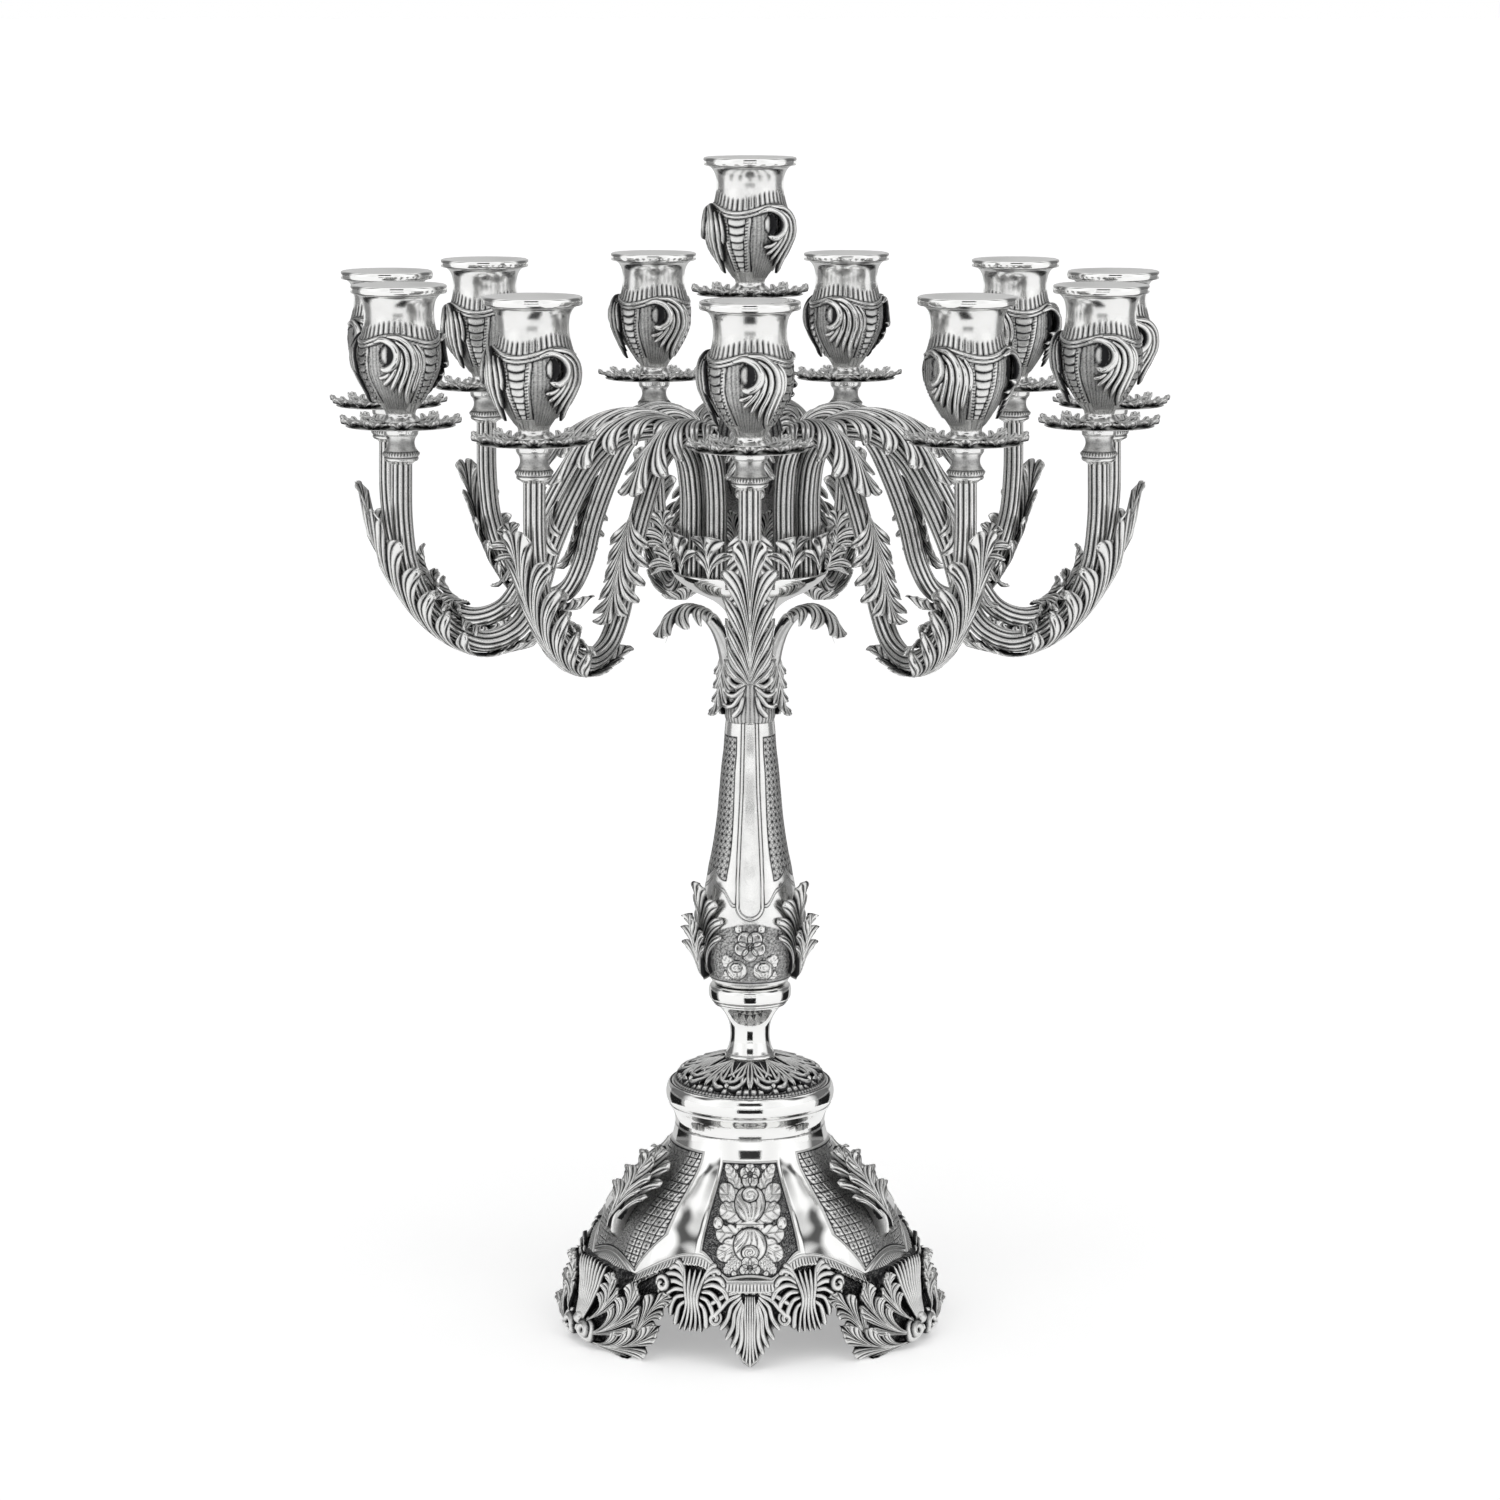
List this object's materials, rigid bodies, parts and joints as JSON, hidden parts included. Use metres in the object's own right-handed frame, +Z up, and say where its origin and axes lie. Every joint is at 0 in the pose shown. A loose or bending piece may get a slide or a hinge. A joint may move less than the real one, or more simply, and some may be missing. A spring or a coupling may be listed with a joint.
{
  "type": "multi-arm candelabra",
  "caption": "Silver candelabra: a ring of double-curved acanthus arms round a central light, on a baluster stem and a fluted domed base with three scrolled feet.",
  "frame": {"origin": "middle of the base, on the surface that the three feet stand on", "axes": "+Z up along the stem, -Y towards the front arm"},
  "size_m": [0.4632, 0.459, 0.641],
  "materials": {
    "polished_silver": "bright polished silver with dark tarnish left in the chasing",
    "oxidised_silver": "cast silver, oxidised in the recesses and bright on the high points",
    "steel_fixings": "plain turned steel"
  },
  "bodies": {
    "root": {"base_skirt": "polished_silver", "shoulder_dome": "polished_silver", "neck_spool": "polished_silver", "stem_baluster": "polished_silver", "arm_dish": "polished_silver", "base_apron": "oxidised_silver", "leaf_bracket": "oxidised_silver", "centre_column": "oxidised_silver", "foot_1": "oxidised_silver", "foot_2": "oxidised_silver", "foot_3": "oxidised_silver", "tie_rod": "steel_fixings", "base_nut": "steel_fixings", "arm_1": "polished_silver", "arm_2": "polished_silver", "arm_3": "polished_silver", "arm_4": "polished_silver", "arm_5": "polished_silver", "arm_6": "polished_silver", "arm_7": "polished_silver", "arm_8": "polished_silver", "arm_9": "polished_silver", "arm_10": "polished_silver", "arm_11": "polished_silver", "cup_1": "polished_silver", "cup_2": "polished_silver", "cup_3": "polished_silver", "cup_4": "polished_silver", "cup_5": "polished_silver", "cup_6": "polished_silver", "cup_7": "polished_silver", "cup_8": "polished_silver", "cup_9": "polished_silver", "cup_10": "polished_silver", "cup_11": "polished_silver", "cup_centre": "polished_silver", "drip_pan_1": "oxidised_silver", "drip_pan_2": "oxidised_silver", "drip_pan_3": "oxidised_silver", "drip_pan_4": "oxidised_silver", "drip_pan_5": "oxidised_silver", "drip_pan_6": "oxidised_silver", "drip_pan_7": "oxidised_silver", "drip_pan_8": "oxidised_silver", "drip_pan_9": "oxidised_silver", "drip_pan_10": "oxidised_silver", "drip_pan_11": "oxidised_silver", "drip_pan_centre": "oxidised_silver"},
    "nozzle_1": {"nozzle_1": "polished_silver"},
    "nozzle_2": {"nozzle_2": "polished_silver"},
    "nozzle_3": {"nozzle_3": "polished_silver"},
    "nozzle_4": {"nozzle_4": "polished_silver"},
    "nozzle_5": {"nozzle_5": "polished_silver"},
    "nozzle_6": {"nozzle_6": "polished_silver"},
    "nozzle_7": {"nozzle_7": "polished_silver"},
    "nozzle_8": {"nozzle_8": "polished_silver"},
    "nozzle_9": {"nozzle_9": "polished_silver"},
    "nozzle_10": {"nozzle_10": "polished_silver"},
    "nozzle_11": {"nozzle_11": "polished_silver"},
    "nozzle_centre": {"nozzle_centre": "polished_silver"}
  },
  "joints": [
    {"name": "lift_1", "type": "slide", "parent": "root", "child": "nozzle_1", "axis": [0, 0, 1], "range_m": [0, 0.04]},
    {"name": "lift_2", "type": "slide", "parent": "root", "child": "nozzle_2", "axis": [0, 0, 1], "range_m": [0, 0.04]},
    {"name": "lift_3", "type": "slide", "parent": "root", "child": "nozzle_3", "axis": [0, 0, 1], "range_m": [0, 0.04]},
    {"name": "lift_4", "type": "slide", "parent": "root", "child": "nozzle_4", "axis": [0, 0, 1], "range_m": [0, 0.04]},
    {"name": "lift_5", "type": "slide", "parent": "root", "child": "nozzle_5", "axis": [0, 0, 1], "range_m": [0, 0.04]},
    {"name": "lift_6", "type": "slide", "parent": "root", "child": "nozzle_6", "axis": [0, 0, 1], "range_m": [0, 0.04]},
    {"name": "lift_7", "type": "slide", "parent": "root", "child": "nozzle_7", "axis": [0, 0, 1], "range_m": [0, 0.04]},
    {"name": "lift_8", "type": "slide", "parent": "root", "child": "nozzle_8", "axis": [0, 0, 1], "range_m": [0, 0.04]},
    {"name": "lift_9", "type": "slide", "parent": "root", "child": "nozzle_9", "axis": [0, 0, 1], "range_m": [0, 0.04]},
    {"name": "lift_10", "type": "slide", "parent": "root", "child": "nozzle_10", "axis": [0, 0, 1], "range_m": [0, 0.04]},
    {"name": "lift_11", "type": "slide", "parent": "root", "child": "nozzle_11", "axis": [0, 0, 1], "range_m": [0, 0.04]},
    {"name": "lift_centre", "type": "slide", "parent": "root", "child": "nozzle_centre", "axis": [0, 0, 1], "range_m": [0, 0.04]}
  ]
}
